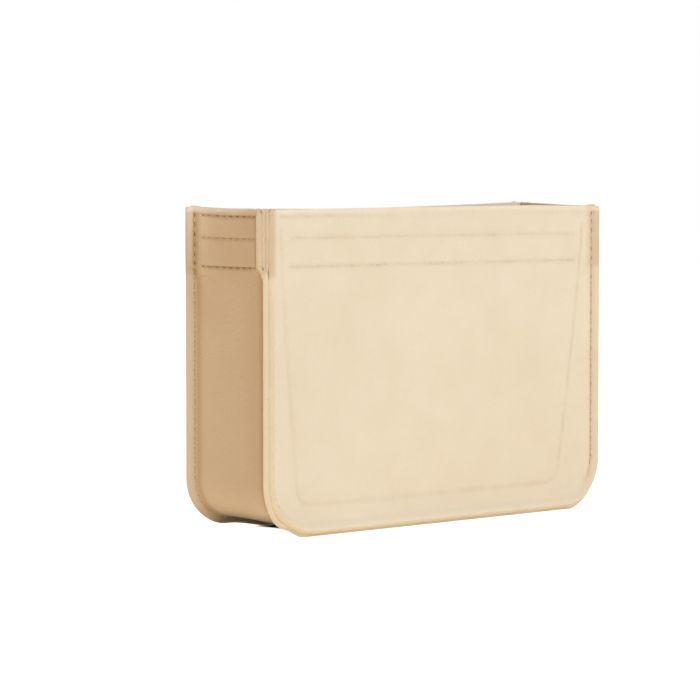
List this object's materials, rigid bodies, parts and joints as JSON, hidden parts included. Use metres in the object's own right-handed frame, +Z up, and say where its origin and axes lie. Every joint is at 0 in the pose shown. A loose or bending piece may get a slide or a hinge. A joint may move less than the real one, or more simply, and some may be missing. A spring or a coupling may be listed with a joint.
{
  "type": "purse organizer insert",
  "caption": "Open-top felt organizer for a purse, with outward seams, rounded lower corners, a stitched doubled top band, a front inner pocket and parted back pockets.",
  "frame": {"origin": "middle of the footprint, on the surface that the organizer stands on", "axes": "+Z up to the open top, +X along the long walls to the right, the front wall faces -Y"},
  "size_m": [0.2322, 0.0594, 0.148],
  "materials": {
    "felt": "matt needled felt",
    "thread": "spun sewing thread"
  },
  "bodies": {
    "root": {"front_panel": "felt", "back_panel": "felt", "gusset_strip": "felt", "front_band": "felt", "back_band": "felt", "left_band": "felt", "right_band": "felt", "front_pocket": "felt", "back_pocket": "felt", "front_band_thread_upper": "thread", "front_band_thread_middle": "thread", "front_band_thread_lower": "thread", "back_band_thread_upper": "thread", "back_band_thread_middle": "thread", "back_band_thread_lower": "thread", "left_band_thread_upper": "thread", "left_band_thread_middle": "thread", "left_band_thread_lower": "thread", "right_band_thread_upper": "thread", "right_band_thread_middle": "thread", "right_band_thread_lower": "thread", "front_seam_thread": "thread", "back_seam_thread": "thread", "front_pocket_thread": "thread", "back_pocket_thread": "thread", "back_pocket_centre_thread": "thread"}
  },
  "joints": []
}
